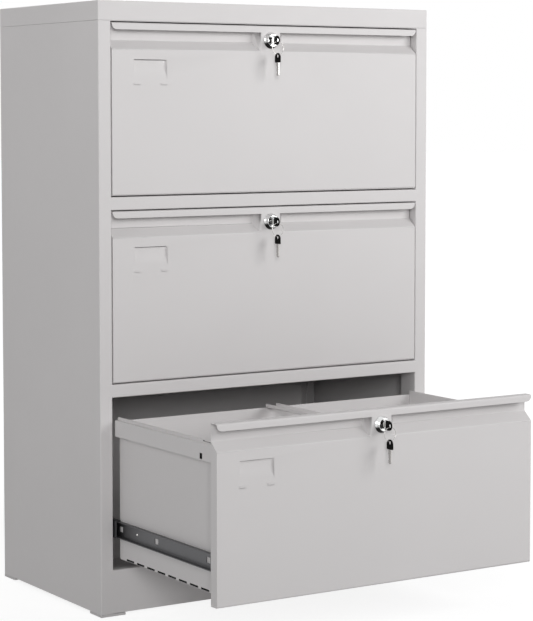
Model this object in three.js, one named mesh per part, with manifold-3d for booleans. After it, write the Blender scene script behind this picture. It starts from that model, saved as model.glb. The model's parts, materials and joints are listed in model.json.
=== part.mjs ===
// Lateral filing cabinet of folded sheet steel with three lockable drawers on telescopic slides.
// Millimetres, +Z up. X runs across the front, the front faces -Y, the feet stand on Z = 0.
// The bottom drawer stands pulled out at rest and the other two are shut.

import * as THREE from 'three';
import { mergeVertices } from 'three/addons/utils/BufferGeometryUtils.js';
import Module from 'manifold-3d';

const wasm = await Module();
wasm.setup();

// Carcass sizes
const WIDTH = 720;
const DEPTH = 400;
const SHEET = 1;
const SHEET_BEND = 1;
const FOOT_HEIGHT = 5;
const FOOT_WIDTH = 50;
const FOOT_DEPTH = 44;
const KICK_HEIGHT = 79;
const OPENING_HEIGHT = 311;
const RAIL_HEIGHT = 23.5;
const CAP_HEIGHT = 34.7;
const CAP_FLANGE = 15;
const STILE_WIDTH = 25;
const STILE_RETURN = 45;
const RAIL_FLANGE = 18;
const RAIL_LIP = 8;
const BACK_FLANGE = 20;
const SEAT_GAP = 0.3;

// Drawer front sizes
const FRONT_GAP = 2;
const FRONT_DEPTH = 20;
const FRONT_SHEET = 1.2;
const FRONT_BEND = 2;
const LIP_DROP = 12.5;
const LIP_CORNER = 10;
const RECESS_DROP = 31;
const FACE_DROP = 47;
const BOSS_WIDTH = 47;
const BOSS_FLARE = 6;
const BOSS_BEND = 4;
const BOSS_BLEND = 5;
const END_RETURN = 18;
const LABEL_WIDTH = 68;
const LABEL_HEIGHT = 42;
const LABEL_DEPTH = 4;
const LABEL_RAMP = 24;
const LABEL_INSET = 44.5;
const LABEL_DROP = 65;
const LABEL_SLIT = 1.2;
const LABEL_LUG_WIDTH = 13;
const LABEL_LUG_HEIGHT = 5;
const LABEL_LUG_PROUD = 2.5;

// Drawer box sizes
const BOX_BACK_ROOM = 26;
const BOX_LIFT = 19;
const BAND_DROP = 40;
const BAND_HEIGHT = 30;
const BAND_PROUD = 9.3;
const FILE_LIP = 5;
const FILE_LIP_START = 38;
const SIDE_FLANGE = 40;
const TRAY_CLEARANCE = 2;
const FILE_RAIL_WIDTH = 24;
const FLOOR_SLOT_LENGTH = 28;
const FLOOR_SLOT_HEIGHT = 3.5;
const FLOOR_SLOT_PITCH = 37;
const FLOOR_SLOT_LIFT = 1.2;
const BAND_SLOT_WIDTH = 9;
const BAND_SLOT_HEIGHT = 10;
const BAND_SLOT_SETBACK = 35;
const BAND_SLOT_LIFT = 3;

// Slide sizes
const SLIDE_BACK_ROOM = 9.7;
const SLIDE_MIDDLE_SETBACK = 150;
const SLIDE_PACKAGE = 12.7;
const SLIDE_SHEET = 1.2;
const SLIDE_BEND = 0.8;
const SLIDE_HEIGHT = 36;
const SLIDE_LIFT = 74.5;
const SLIDE_RUNNING_GAP = 0.5;
const SLIDE_WINDOW_LENGTH = 12;
const SLIDE_WINDOW_HEIGHT = 10;
const SLIDE_OVERTRAVEL = 5;

// Lock and key sizes
const LOCK_DROP = 27;
const BEZEL_RADIUS = 15;
const BEZEL_FACE_RADIUS = 11.2;
const BEZEL_DEPTH = 8.5;
const BEZEL_RIM = 1;
const BEZEL_GROOVE = 1.9;
const BEZEL_GROOVE_DEPTH = 3.5;
const BARREL_RADIUS = 9;
const BARREL_LENGTH = 22;
const PLUG_RADIUS = 6;
const CAM_LENGTH = 36;
const CAM_WIDTH = 12;
const CAM_SHEET = 2;
const KEY_BLADE_WIDTH = 8;
const KEY_BLADE_SHEET = 2;
const KEY_BLADE_LENGTH = 25;
const KEY_NECK = 3.5;
const KEY_HEAD_WIDTH = 17;
const KEY_HEAD_LENGTH = 17.5;
const KEY_HEAD_SHEET = 2.6;
const KEY_HOLE_RADIUS = 3.3;
const KEY_HOLE_EDGE = 5.5;
const RING_RADIUS = 12;
const RING_WIRE_RADIUS = 0.6;
const RUNNING_GAP = 0.3;

// Round pieces
const ROUND_SIDES = 28;
const RING_STEPS = 32;
const WIRE_SIDES = 6;
const BEND_STEPS = 3;
const LIP_STEPS = 6;
const CUT_PAST = 2;

// Places worked out from the sizes
const bodyBottom = FOOT_HEIGHT;
const openingPitch = OPENING_HEIGHT + RAIL_HEIGHT;
const bottomOpening = bodyBottom + KICK_HEIGHT;
const middleOpening = bottomOpening + openingPitch;
const topOpening = middleOpening + openingPitch;
const topRailBottom = topOpening + OPENING_HEIGHT;
const bodyTop = topRailBottom + SHEET;
const capBottom = bodyTop + SEAT_GAP;
const openingHalf = WIDTH / 2 - STILE_WIDTH;
const crossHalf = openingHalf - SEAT_GAP;
const frontHalf = openingHalf - FRONT_GAP;
const frontTop = OPENING_HEIGHT - FRONT_GAP;
const boxFront = FRONT_DEPTH + SEAT_GAP;
const boxBack = DEPTH - BACK_FLANGE - BOX_BACK_ROOM;
const boxDepth = boxBack - boxFront;
const wallOuter = openingHalf - SLIDE_PACKAGE - 2 * SEAT_GAP;
const wallInner = wallOuter - SHEET;
const trayHalf = wallInner - SEAT_GAP;
const bandTop = OPENING_HEIGHT - BAND_DROP;
const bandBottom = bandTop - BAND_HEIGHT;
const floorSlotBottom = BOX_LIFT + FLOOR_SLOT_LIFT;
const floorSlotTop = floorSlotBottom + FLOOR_SLOT_HEIGHT;
const trayBottom = floorSlotTop + SEAT_GAP;
const trayTop = bandTop - TRAY_CLEARANCE;
const slideFront = boxFront;
const slideBack = DEPTH - BACK_FLANGE - SLIDE_BACK_ROOM;
const fullyOpen = slideBack - slideFront + SLIDE_OVERTRAVEL;
const lockHeight = frontTop - LOCK_DROP;
const plugFront = -BEZEL_DEPTH;
const camFront = BARREL_LENGTH + RUNNING_GAP;
const headStart = plugFront - KEY_NECK;
const headEnd = headStart - KEY_HEAD_LENGTH;
const keyHoleY = headEnd + KEY_HOLE_EDGE;
const bladeTip = headStart + KEY_BLADE_LENGTH;
const wireDrop = KEY_HOLE_RADIUS - RING_WIRE_RADIUS - RUNNING_GAP;
const ringCentre = lockHeight - wireDrop - RING_RADIUS;
const spareHole = ringCentre - RING_RADIUS - wireDrop;

const levels = [
  { name: 'top', floor: topOpening, open: 0 },
  { name: 'middle', floor: middleOpening, open: 0 },
  { name: 'bottom', floor: bottomOpening, open: fullyOpen },
];
const sides = [
  { name: 'left', sign: 1 },
  { name: 'right', sign: -1 },
];

// Finishes
const paint = new THREE.MeshStandardMaterial({ color: 0xd5d3d3, roughness: 0.55, metalness: 0 });
const slideZinc = new THREE.MeshStandardMaterial({ color: 0x55565a, roughness: 0.45, metalness: 0.8 });
const chrome = new THREE.MeshStandardMaterial({ color: 0xe4e4e6, roughness: 0.12, metalness: 1 });
const keyBlack = new THREE.MeshStandardMaterial({ color: 0x161616, roughness: 0.4, metalness: 0 });
const footPlastic = new THREE.MeshStandardMaterial({ color: 0xcdcaca, roughness: 0.7, metalness: 0 });

// Both faces of a folded sheet. The corners follow the near face, the wall lies to their right,
// and every fold has the given inside radius.
function sheetFaces(corners, wall, bend) {
  const path = corners.map(([a, b]) => new THREE.Vector2(a, b));
  const near = [];
  const far = [];
  path.forEach((corner, index) => {
    const before = index > 0 ? corner.clone().sub(path[index - 1]).normalize() : null;
    const after = index < path.length - 1 ? path[index + 1].clone().sub(corner).normalize() : null;
    if (!before || !after) {
      const along = before ?? after;
      const across = new THREE.Vector2(along.y, -along.x);
      near.push(corner);
      far.push(corner.clone().addScaledVector(across, wall));
      return;
    }
    const turn = Math.atan2(before.cross(after), before.dot(after));
    const nearRadius = turn > 0 ? bend : bend + wall;
    const farRadius = turn > 0 ? bend + wall : bend;
    const setback = nearRadius * Math.tan(Math.abs(turn) / 2);
    const inward = new THREE.Vector2(-before.y, before.x).multiplyScalar(Math.sign(turn));
    const centre = corner.clone().addScaledVector(before, -setback).addScaledVector(inward, nearRadius);
    for (let step = 0; step <= BEND_STEPS; step += 1) {
      const spoke = inward.clone().negate().rotateAround(new THREE.Vector2(), turn * step / BEND_STEPS);
      near.push(centre.clone().addScaledVector(spoke, nearRadius));
      far.push(centre.clone().addScaledVector(spoke, farRadius));
    }
  });
  return { near, far };
}

// Closed outline of a folded sheet
function foldedSheet(corners, wall, bend) {
  const { near, far } = sheetFaces(corners, wall, bend);
  return [...near, ...far.reverse()].map((point) => [point.x, point.y]);
}

// Outline of a plate that closes a fold and ends halfway through the sheet that it joins
function closingPlate(corners, wall, bend) {
  const { near, far } = sheetFaces(corners, wall, bend);
  return near.map((point, index) => point.clone().lerp(far[index], 0.5)).map((point) => [point.x, point.y]);
}

function extruded(outline, length, basis, start) {
  const shape = new THREE.Shape(outline.map(([a, b]) => new THREE.Vector2(a, b)));
  const geometry = new THREE.ExtrudeGeometry(shape, { depth: length, bevelEnabled: false });
  const place = new THREE.Matrix4().makeBasis(...basis).setPosition(start);
  return geometry.applyMatrix4(place);
}

const axisX = new THREE.Vector3(1, 0, 0);
const axisY = new THREE.Vector3(0, 1, 0);
const axisZ = new THREE.Vector3(0, 0, 1);
const backAlongY = new THREE.Vector3(0, -1, 0);

// A (Y, Z) outline drawn out along X
function alongX(outline, from, to) {
  return extruded(outline, to - from, [axisY, axisZ, axisX], new THREE.Vector3(from, 0, 0));
}

// An (X, Z) outline drawn out along Y
function alongY(outline, from, to) {
  return extruded(outline, to - from, [axisX, axisZ, backAlongY], new THREE.Vector3(0, to, 0));
}

// An (X, Y) outline drawn out along Z
function alongZ(outline, from, to) {
  return extruded(outline, to - from, [axisX, axisY, axisZ], new THREE.Vector3(0, 0, from));
}

function block([x0, x1], [y0, y1], [z0, z1]) {
  const geometry = new THREE.BoxGeometry(Math.abs(x1 - x0), Math.abs(y1 - y0), Math.abs(z1 - z0));
  return geometry.translate((x0 + x1) / 2, (y0 + y1) / 2, (z0 + z1) / 2);
}

function drumAlongY(radius, from, to, height) {
  const geometry = new THREE.CylinderGeometry(radius, radius, to - from, ROUND_SIDES);
  return geometry.translate(0, (from + to) / 2, height);
}

function solidOf(geometry) {
  const bare = geometry.clone();
  bare.deleteAttribute('normal');
  bare.deleteAttribute('uv');
  const merged = mergeVertices(bare, 1e-4);
  const vertProperties = new Float32Array(merged.attributes.position.array);
  const triVerts = new Uint32Array(merged.index.array);
  return new wasm.Manifold(new wasm.Mesh({ numProp: 3, vertProperties, triVerts }));
}

function geometryOf(solid) {
  const { vertProperties, triVerts } = solid.getMesh();
  const geometry = new THREE.BufferGeometry();
  geometry.setAttribute('position', new THREE.BufferAttribute(new Float32Array(vertProperties), 3));
  geometry.setIndex(new THREE.BufferAttribute(new Uint32Array(triVerts), 1));
  geometry.computeVertexNormals();
  return geometry;
}

function joined(...pieces) {
  return geometryOf(pieces.map(solidOf).reduce((sum, piece) => sum.add(piece)));
}

function cut(geometry, ...tools) {
  return geometryOf(tools.map(solidOf).reduce((rest, tool) => rest.subtract(tool), solidOf(geometry)));
}

function shared(first, second) {
  return geometryOf(solidOf(first).intersect(solidOf(second)));
}

function mirrored(outline, sign) {
  return outline.map(([x, other]) => [x * sign, other]);
}

function mesh(name, geometry, material) {
  const piece = new THREE.Mesh(geometry, material);
  piece.name = name;
  return piece;
}

// Side panel: outer sheet, front stile and rear flange, each ending in a return that carries the slides
function sidePanel(sign) {
  const outer = -WIDTH / 2;
  const inner = -openingHalf;
  const plan = foldedSheet([
    [inner, STILE_RETURN],
    [inner, 0],
    [outer, 0],
    [outer, DEPTH],
    [inner, DEPTH],
    [inner, DEPTH - STILE_RETURN],
  ], SHEET, SHEET_BEND);
  return alongZ(mirrored(plan, sign), bodyBottom, bodyTop);
}

// Back panel: a sheet between the rear returns with a flange forward at each end
function backPanel() {
  const plan = foldedSheet([
    [-crossHalf, DEPTH - BACK_FLANGE],
    [-crossHalf, DEPTH],
    [crossHalf, DEPTH],
    [crossHalf, DEPTH - BACK_FLANGE],
  ], SHEET, SHEET_BEND);
  return alongZ(plan, bodyBottom + SHEET + SEAT_GAP, bodyTop);
}

// Base panel: kick plate with a top flange, folded back into the cabinet floor
function basePanel() {
  const section = foldedSheet([
    [DEPTH, bodyBottom],
    [0, bodyBottom],
    [0, bottomOpening],
    [RAIL_FLANGE, bottomOpening],
  ], SHEET, SHEET_BEND);
  return alongX(section, -crossHalf, crossHalf);
}

// Rail between two drawers: a lipped channel that the lock cams catch behind
function frontRail(bottom) {
  const top = bottom + RAIL_HEIGHT;
  const section = foldedSheet([
    [RAIL_FLANGE, bottom + RAIL_LIP],
    [RAIL_FLANGE, bottom],
    [0, bottom],
    [0, top],
    [RAIL_FLANGE, top],
    [RAIL_FLANGE, top - RAIL_LIP],
  ], SHEET, SHEET_BEND);
  return alongX(section, -crossHalf, crossHalf);
}

// Rail under the cap: a flat strip with a catch lip behind
function topRail() {
  const section = foldedSheet([
    [RAIL_FLANGE, topRailBottom + RAIL_LIP],
    [RAIL_FLANGE, topRailBottom],
    [0, topRailBottom],
  ], SHEET, SHEET_BEND);
  return alongX(section, -crossHalf, crossHalf);
}

// Top cap: a lid with a deep skirt whose lower edge is turned inwards onto the side panels
function topCap() {
  const half = WIDTH / 2;
  const top = capBottom + CAP_HEIGHT;
  const skin = block([-half, half], [0, DEPTH], [capBottom, top]);
  const hollow = block(
    [-half + SHEET, half - SHEET],
    [SHEET, DEPTH - SHEET],
    [capBottom + SHEET, top - SHEET],
  );
  const mouth = block(
    [-half + CAP_FLANGE, half - CAP_FLANGE],
    [CAP_FLANGE, DEPTH - CAP_FLANGE],
    [capBottom - CUT_PAST, capBottom + CUT_PAST],
  );
  return cut(skin, hollow, mouth);
}

function addCarcass(cabinet) {
  cabinet.add(mesh('top_cap', topCap(), paint));
  for (const side of sides) {
    cabinet.add(mesh(`${side.name}_side_panel`, sidePanel(side.sign), paint));
  }
  cabinet.add(mesh('back_panel', backPanel(), paint));
  cabinet.add(mesh('base_panel', basePanel(), paint));
  cabinet.add(mesh('top_rail', topRail(), paint));
  cabinet.add(mesh('upper_rail', frontRail(middleOpening + OPENING_HEIGHT), paint));
  cabinet.add(mesh('lower_rail', frontRail(bottomOpening + OPENING_HEIGHT), paint));
  for (const side of sides) {
    const outer = -side.sign * WIDTH / 2;
    const inner = outer + side.sign * FOOT_WIDTH;
    const lift = [0, FOOT_HEIGHT - SEAT_GAP];
    const front = block([outer, inner], [0, FOOT_DEPTH], lift);
    const rear = block([outer, inner], [DEPTH - FOOT_DEPTH, DEPTH], lift);
    cabinet.add(mesh(`front_${side.name}_foot`, front, footPlastic));
    cabinet.add(mesh(`rear_${side.name}_foot`, rear, footPlastic));
  }
}

// Slide members are channels nested in each other. X is given from the stile edge towards the drawer.
function slideChannel(sign, { back, lips, halfHeight, facing, setback = 0 }) {
  const web = -openingHalf + back;
  const edge = -openingHalf + lips;
  const near = SLIDE_LIFT - facing * halfHeight;
  const far = SLIDE_LIFT + facing * halfHeight;
  const section = foldedSheet([
    [edge, near],
    [web, near],
    [web, far],
    [edge, far],
  ], SLIDE_SHEET, SLIDE_BEND);
  return alongY(mirrored(section, sign), slideFront + setback, slideBack);
}

const outerSlideHalf = SLIDE_HEIGHT / 2;
const middleSlideHalf = outerSlideHalf - SLIDE_SHEET - SLIDE_RUNNING_GAP;
const innerSlideHalf = middleSlideHalf - SLIDE_SHEET - SLIDE_RUNNING_GAP;
const outerSlideBack = SEAT_GAP;
const middleSlideBack = outerSlideBack + SLIDE_SHEET + SLIDE_RUNNING_GAP;
const innerSlideBack = SEAT_GAP + SLIDE_PACKAGE;
const innerSlideLips = middleSlideBack + SLIDE_SHEET + SLIDE_RUNNING_GAP;
const nestedSlideLips = innerSlideBack - SLIDE_SHEET - SLIDE_RUNNING_GAP;

function outerSlide(sign) {
  const shape = { back: outerSlideBack, lips: nestedSlideLips, halfHeight: outerSlideHalf, facing: 1 };
  return slideChannel(sign, shape);
}

// The middle member is short, so that little of it shows past the cabinet when the drawer is out
function middleSlide(sign) {
  return slideChannel(sign, {
    back: middleSlideBack,
    lips: nestedSlideLips,
    halfHeight: middleSlideHalf,
    facing: 1,
    setback: SLIDE_MIDDLE_SETBACK,
  });
}

// The inner member has windows in its web near both ends and past its middle
function innerSlide(sign) {
  const shape = { back: innerSlideBack, lips: innerSlideLips, halfHeight: innerSlideHalf, facing: -1 };
  const end = 2 * SLIDE_WINDOW_LENGTH;
  const centres = [slideFront + end, (slideFront + slideBack) / 2 + end, slideBack - end];
  const webSpan = [-openingHalf + innerSlideBack - 2 * SLIDE_SHEET, -openingHalf + innerSlideBack + SHEET];
  const windows = centres.map((centre) => block(
    webSpan.map((x) => x * sign),
    [centre - SLIDE_WINDOW_LENGTH / 2, centre + SLIDE_WINDOW_LENGTH / 2],
    [SLIDE_LIFT - SLIDE_WINDOW_HEIGHT / 2, SLIDE_LIFT + SLIDE_WINDOW_HEIGHT / 2],
  ));
  return cut(slideChannel(sign, shape), ...windows);
}

// Drawer front: one pressed sheet with a pull lip over a recess, end plates, a lock boss and a card pocket
function drawerFront() {
  const faceTop = frontTop - FACE_DROP;
  const recessBottom = frontTop - RECESS_DROP;
  const recessFace = FRONT_DEPTH - FRONT_SHEET;
  const lipBottom = frontTop - LIP_DROP;
  const pan = [
    [FRONT_DEPTH, FRONT_GAP],
    [0, FRONT_GAP],
    [0, faceTop],
    [recessFace, recessBottom],
  ];
  const pull = [
    [recessFace, frontTop - FRONT_SHEET],
    [FRONT_SHEET, frontTop - FRONT_SHEET],
    [FRONT_SHEET, lipBottom],
  ];
  const skin = alongX(foldedSheet([...pan, ...pull], FRONT_SHEET, FRONT_BEND), -frontHalf, frontHalf);

  const endFold = [[FRONT_DEPTH - FRONT_SHEET / 2, FRONT_GAP], ...pan.slice(1)];
  const endPlate = closingPlate(endFold, FRONT_SHEET, FRONT_BEND);
  const ends = [-1, 1].map((sign) => block(
    [sign * frontHalf, sign * (frontHalf - END_RETURN)],
    [recessFace, FRONT_DEPTH],
    [FRONT_GAP + 2 * FRONT_SHEET, recessBottom - 2 * FRONT_SHEET],
  ));
  ends.push(alongX(endPlate, -frontHalf, -frontHalf + FRONT_SHEET));
  ends.push(alongX(endPlate, frontHalf - FRONT_SHEET, frontHalf));

  // The lock boss bulges from the recess to the plane of the face and blends into face and lip
  const bossHalf = BOSS_WIDTH / 2;
  const bossFoot = bossHalf + BOSS_FLARE;
  const bossSheet = foldedSheet([
    [bossFoot, FRONT_DEPTH],
    [bossHalf, 0],
    [-bossHalf, 0],
    [-bossFoot, FRONT_DEPTH],
  ], FRONT_SHEET, BOSS_BEND);
  const bossFold = [
    [0, faceTop - BOSS_BLEND],
    ...pan.slice(2),
    ...pull.slice(0, 2),
    [FRONT_SHEET, lipBottom + BOSS_BLEND],
  ];
  const recess = closingPlate(bossFold, FRONT_SHEET, FRONT_BEND);
  const bossSpace = [[0, faceTop - BOSS_BLEND], ...recess, [0, lipBottom + BOSS_BLEND]];
  const bossTube = alongZ(bossSheet, faceTop - 2 * BOSS_BLEND, frontTop);
  const boss = shared(bossTube, alongX(bossSpace, -2 * bossFoot, 2 * bossFoot));

  // The card pocket is deepest at the top, where a slit takes the card's edge, and runs out between two lugs
  const labelLeft = -frontHalf + LABEL_INSET;
  const labelRight = labelLeft + LABEL_WIDTH;
  const labelTop = frontTop - LABEL_DROP;
  const labelBottom = labelTop - LABEL_HEIGHT;
  const labelRamp = labelBottom + LABEL_RAMP;
  const pocketWaste = [
    [-CUT_PAST, labelTop],
    [LABEL_DEPTH, labelTop],
    [LABEL_DEPTH, labelRamp],
    [-CUT_PAST, labelBottom],
  ];
  const pocketBack = [
    [FRONT_SHEET / 2, labelTop + FRONT_SHEET],
    [LABEL_DEPTH + FRONT_SHEET, labelTop + FRONT_SHEET],
    [LABEL_DEPTH + FRONT_SHEET, labelRamp - FRONT_SHEET],
    [FRONT_SHEET / 2, labelBottom - FRONT_SHEET],
  ];
  const pocket = alongX(pocketWaste, labelLeft, labelRight);
  const pocketShell = alongX(pocketBack, labelLeft - FRONT_SHEET, labelRight + FRONT_SHEET);
  const pocketSlit = block(
    [labelLeft + FRONT_SHEET, labelRight - FRONT_SHEET],
    [0, LABEL_DEPTH + 2 * FRONT_SHEET],
    [labelTop - LABEL_SLIT, labelTop],
  );
  const lugWedge = [
    [FRONT_SHEET / 2, labelBottom - LABEL_LUG_HEIGHT / 2],
    [FRONT_SHEET / 2, labelBottom + LABEL_LUG_HEIGHT / 2],
    [-LABEL_LUG_PROUD, labelBottom - LABEL_LUG_HEIGHT / 2],
  ];
  const lugStarts = [labelLeft, labelRight - LABEL_LUG_WIDTH];
  const lugs = lugStarts.map((start) => alongX(lugWedge, start, start + LABEL_LUG_WIDTH));

  // The lower corners of the lip are rounded off
  const lipRise = LIP_DROP - FRONT_SHEET;
  const lipCurve = Array.from({ length: LIP_STEPS + 1 }, (_, step) => {
    const angle = Math.PI / 2 * step / LIP_STEPS;
    return [frontHalf - LIP_CORNER * (1 - Math.cos(angle)), lipBottom + lipRise * (1 - Math.sin(angle))];
  });
  const lipWaste = [
    [frontHalf + CUT_PAST, lipBottom + lipRise],
    ...lipCurve,
    [frontHalf - LIP_CORNER, lipBottom - CUT_PAST],
    [frontHalf + CUT_PAST, lipBottom - CUT_PAST],
  ];
  const lipEnds = [-1, 1].map((sign) => alongY(mirrored(lipWaste, sign), -CUT_PAST, FRONT_SHEET + SEAT_GAP));
  const barrelHole = drumAlongY(BARREL_RADIUS + RUNNING_GAP, -CUT_PAST, FRONT_DEPTH + CUT_PAST, lockHeight);

  const shell = joined(skin, ...ends, boss, pocketShell);
  return joined(cut(shell, pocket, pocketSlit, barrelHole, ...lipEnds), ...lugs);
}

// Drawer tray: inner front wall, floor and back wall folded from one sheet, fixed over the slots of the sides
function drawerTray() {
  const section = foldedSheet([
    [boxBack, trayTop],
    [boxBack, trayBottom],
    [boxFront, trayBottom],
    [boxFront, trayTop],
  ], SHEET, SHEET_BEND);
  return alongX(section, -trayHalf, trayHalf);
}

// Drawer side: floor flange, wall, a rolled lip that hanging files hook over, and a proud box band
// folded down outside the wall
function drawerSide(sign) {
  const bandOuter = wallOuter + BAND_PROUD;
  const rollOuter = wallOuter + 2 * SHEET_BEND + SEAT_GAP;
  const lipTop = bandTop + FILE_LIP;
  const section = foldedSheet([
    [-wallOuter + SIDE_FLANGE, BOX_LIFT],
    [-wallOuter, BOX_LIFT],
    [-wallOuter, lipTop - SHEET],
    [-rollOuter, lipTop - SHEET],
    [-rollOuter, bandTop - SHEET],
    [-bandOuter + SHEET, bandTop - SHEET],
    [-bandOuter + SHEET, bandBottom + SHEET],
    [-wallOuter - SEAT_GAP, bandBottom + SHEET],
  ], SHEET, SHEET_BEND);
  const folded = alongY(mirrored(section, sign), boxFront, boxBack);
  const across = (from, to) => [from * sign, to * sign];

  const lipEnd = block(
    across(-bandOuter - CUT_PAST, -wallInner + CUT_PAST),
    [boxFront - CUT_PAST, boxFront + FILE_LIP_START],
    [bandTop + 2 * SHEET_BEND, lipTop + CUT_PAST],
  );
  const slotCentre = boxFront + BAND_SLOT_SETBACK;
  const slotBottom = bandBottom + BAND_SLOT_LIFT;
  const bandSlot = block(
    across(-bandOuter - CUT_PAST, -bandOuter + CUT_PAST),
    [slotCentre - BAND_SLOT_WIDTH / 2, slotCentre + BAND_SLOT_WIDTH / 2],
    [slotBottom, slotBottom + BAND_SLOT_HEIGHT],
  );
  const slotCount = Math.floor((boxDepth - FLOOR_SLOT_LENGTH) / FLOOR_SLOT_PITCH);
  const slotMargin = (boxDepth - (slotCount - 1) * FLOOR_SLOT_PITCH) / 2;
  const floorSlots = Array.from({ length: slotCount }, (_, index) => {
    const centre = boxFront + slotMargin + index * FLOOR_SLOT_PITCH;
    return block(
      across(-wallOuter - CUT_PAST, -wallInner + SEAT_GAP),
      [centre - FLOOR_SLOT_LENGTH / 2, centre + FLOOR_SLOT_LENGTH / 2],
      [floorSlotBottom, floorSlotTop],
    );
  });
  return cut(folded, lipEnd, bandSlot, ...floorSlots);
}

// Centre rail for the inner ends of two rows of hanging files: a channel across the tray walls
function fileRail() {
  const half = FILE_RAIL_WIDTH / 2;
  const bottom = trayTop + SEAT_GAP;
  const top = bandTop + FILE_LIP;
  const section = foldedSheet([
    [half, top],
    [half, bottom],
    [-half, bottom],
    [-half, top],
  ], SHEET, SHEET_BEND);
  const frontEnd = block(
    [-half - CUT_PAST, half + CUT_PAST],
    [boxFront - CUT_PAST, boxFront + FILE_LIP_START],
    [bottom + SHEET + SHEET_BEND, top + CUT_PAST],
  );
  return cut(alongY(section, boxFront, boxBack), frontEnd);
}

// Lock housing: a chrome bezel seated on the boss and a barrel through the front
function lockHousing() {
  const bore = PLUG_RADIUS + RUNNING_GAP;
  const groove = bore + BEZEL_GROOVE;
  const seat = -SEAT_GAP;
  const profile = [
    [bore, -BEZEL_DEPTH + BEZEL_GROOVE_DEPTH],
    [groove, -BEZEL_DEPTH + BEZEL_GROOVE_DEPTH],
    [groove, -BEZEL_DEPTH],
    [BEZEL_FACE_RADIUS, -BEZEL_DEPTH],
    [BEZEL_RADIUS - BEZEL_RIM, seat - 2 * BEZEL_RIM],
    [BEZEL_RADIUS, seat - BEZEL_RIM],
    [BEZEL_RADIUS, seat],
    [BARREL_RADIUS, seat],
    [BARREL_RADIUS, BARREL_LENGTH],
    [bore, BARREL_LENGTH],
    [bore, -BEZEL_DEPTH + BEZEL_GROOVE_DEPTH],
  ];
  const points = profile.map(([radius, along]) => new THREE.Vector2(radius, along));
  return new THREE.LatheGeometry(points, ROUND_SIDES).translate(0, 0, lockHeight);
}

// Lock plug: a keyed cylinder with the cam on its inner end, lying flat when unlocked
function lockPlug() {
  const camBack = camFront + CAM_SHEET;
  const camHalf = CAM_WIDTH / 2;
  const plug = drumAlongY(PLUG_RADIUS, plugFront, camBack, lockHeight);
  const hub = drumAlongY(BARREL_RADIUS, camFront, camBack, lockHeight);
  const arm = block([0, CAM_LENGTH], [camFront, camBack], [lockHeight - camHalf, lockHeight + camHalf]);
  const slotHalf = KEY_BLADE_SHEET / 2 + RUNNING_GAP;
  const slotRise = KEY_BLADE_WIDTH / 2 + RUNNING_GAP;
  const keySlot = block(
    [-slotHalf, slotHalf],
    [plugFront - CUT_PAST, bladeTip + RUNNING_GAP],
    [lockHeight - slotRise, lockHeight + slotRise],
  );
  return cut(joined(plug, hub, arm), keySlot);
}

// Key lying along Y with its blade towards +Y: flat blade, moulded head with a round end and a ring hole
function keyGeometry() {
  const headHalf = KEY_HEAD_WIDTH / 2;
  const outline = new THREE.Shape();
  const roundStart = headEnd + headHalf;
  outline.moveTo(headStart, -headHalf);
  outline.lineTo(headStart, headHalf);
  outline.lineTo(roundStart, headHalf);
  outline.absarc(roundStart, 0, headHalf, Math.PI / 2, 1.5 * Math.PI, false);
  outline.closePath();
  const hole = new THREE.Path();
  hole.absarc(keyHoleY, 0, KEY_HOLE_RADIUS, 0, 2 * Math.PI, true);
  outline.holes.push(hole);
  const settings = { depth: KEY_HEAD_SHEET, bevelEnabled: false, curveSegments: ROUND_SIDES / 2 };
  const place = new THREE.Matrix4().makeBasis(axisY, axisZ, axisX);
  place.setPosition(-KEY_HEAD_SHEET / 2, 0, 0);
  const head = new THREE.ExtrudeGeometry(outline, settings).applyMatrix4(place);
  const bladeHalf = KEY_BLADE_WIDTH / 2;
  const blade = block(
    [-KEY_BLADE_SHEET / 2, KEY_BLADE_SHEET / 2],
    [headStart - CUT_PAST, bladeTip],
    [-bladeHalf, bladeHalf],
  );
  return joined(head, blade);
}

function addLock(drawer, level) {
  drawer.add(mesh(`${level.name}_lock_housing`, lockHousing(), chrome));
  drawer.add(mesh(`${level.name}_lock_plug`, lockPlug(), chrome));

  const key = mesh(`${level.name}_key`, keyGeometry(), keyBlack);
  key.position.z = lockHeight;
  drawer.add(key);

  const ringShape = new THREE.TorusGeometry(RING_RADIUS, RING_WIRE_RADIUS, WIRE_SIDES, RING_STEPS);
  const ring = mesh(`${level.name}_key_ring`, ringShape, chrome);
  ring.rotation.x = Math.PI / 2;
  ring.position.set(0, keyHoleY, ringCentre);
  drawer.add(ring);

  // The spare key hangs by its hole from the lowest point of the ring, blade down
  const spare = mesh(`${level.name}_spare_key`, keyGeometry(), keyBlack);
  spare.rotation.x = -Math.PI / 2;
  spare.position.set(0, keyHoleY, spareHole + keyHoleY);
  drawer.add(spare);
}

function addDrawer(cabinet, level) {
  const drawer = new THREE.Group();
  drawer.position.set(0, -level.open, level.floor);
  drawer.add(mesh(`${level.name}_drawer_front`, drawerFront(), paint));
  drawer.add(mesh(`${level.name}_drawer_tray`, drawerTray(), paint));
  drawer.add(mesh(`${level.name}_file_rail`, fileRail(), paint));
  for (const side of sides) {
    drawer.add(mesh(`${level.name}_drawer_${side.name}_side`, drawerSide(side.sign), paint));
    drawer.add(mesh(`${level.name}_${side.name}_inner_slide`, innerSlide(side.sign), slideZinc));
  }
  addLock(drawer, level);

  const middleMembers = new THREE.Group();
  middleMembers.position.set(0, -level.open / 2, level.floor);
  const outerMembers = new THREE.Group();
  outerMembers.position.set(0, 0, level.floor);
  for (const side of sides) {
    middleMembers.add(mesh(`${level.name}_${side.name}_middle_slide`, middleSlide(side.sign), slideZinc));
    outerMembers.add(mesh(`${level.name}_${side.name}_outer_slide`, outerSlide(side.sign), slideZinc));
  }
  cabinet.add(drawer, middleMembers, outerMembers);
}

const cabinet = new THREE.Group();
addCarcass(cabinet);
for (const level of levels) {
  addDrawer(cabinet, level);
}

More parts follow.
